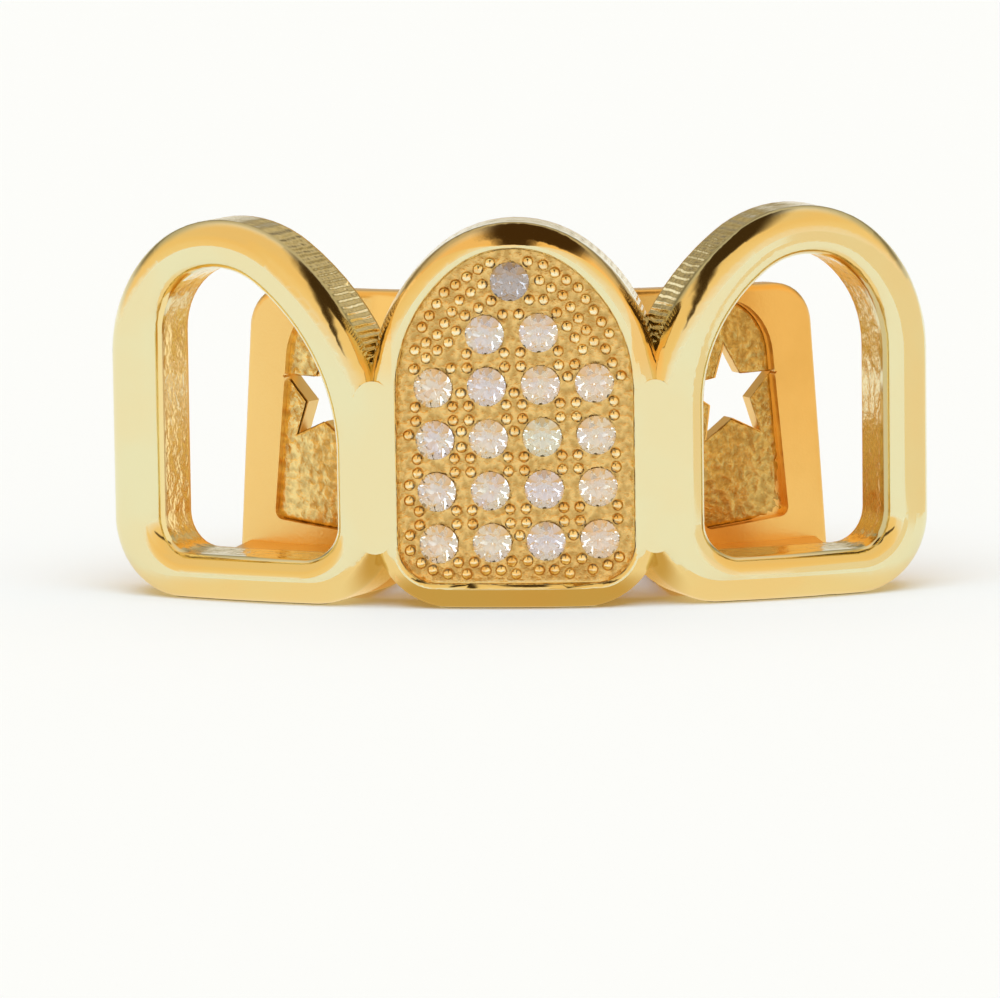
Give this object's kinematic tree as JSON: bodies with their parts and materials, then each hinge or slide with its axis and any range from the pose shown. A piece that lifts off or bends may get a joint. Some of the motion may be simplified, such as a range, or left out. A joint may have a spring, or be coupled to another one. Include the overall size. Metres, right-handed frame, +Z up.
{
  "type": "grillz tooth cover",
  "caption": "Gold-plated clip-on cover for upper front teeth: open rings beside a stone-set cap, a biting shelf and a curved tongue-side plate with star cut-outs.",
  "frame": {"origin": "centre of the bounding box at the biting edges the cover stands on", "axes": "+X along the row of teeth to the viewer's right, +Y from the lips to the tongue, +Z up to the gums"},
  "size_m": [0.0256, 0.0118, 0.0122],
  "materials": {
    "gold_plate": "polished",
    "clear_stone": "polished"
  },
  "bodies": {
    "root": {"grill_frame": "gold_plate", "stone_1_1": "clear_stone", "stone_1_2": "clear_stone", "stone_1_3": "clear_stone", "stone_1_4": "clear_stone", "stone_2_1": "clear_stone", "stone_2_2": "clear_stone", "stone_2_3": "clear_stone", "stone_2_4": "clear_stone", "stone_3_1": "clear_stone", "stone_3_2": "clear_stone", "stone_3_3": "clear_stone", "stone_3_4": "clear_stone", "stone_4_1": "clear_stone", "stone_4_2": "clear_stone", "stone_4_3": "clear_stone", "stone_4_4": "clear_stone", "stone_5_1": "clear_stone", "stone_5_2": "clear_stone", "stone_6_1": "clear_stone"}
  },
  "joints": []
}
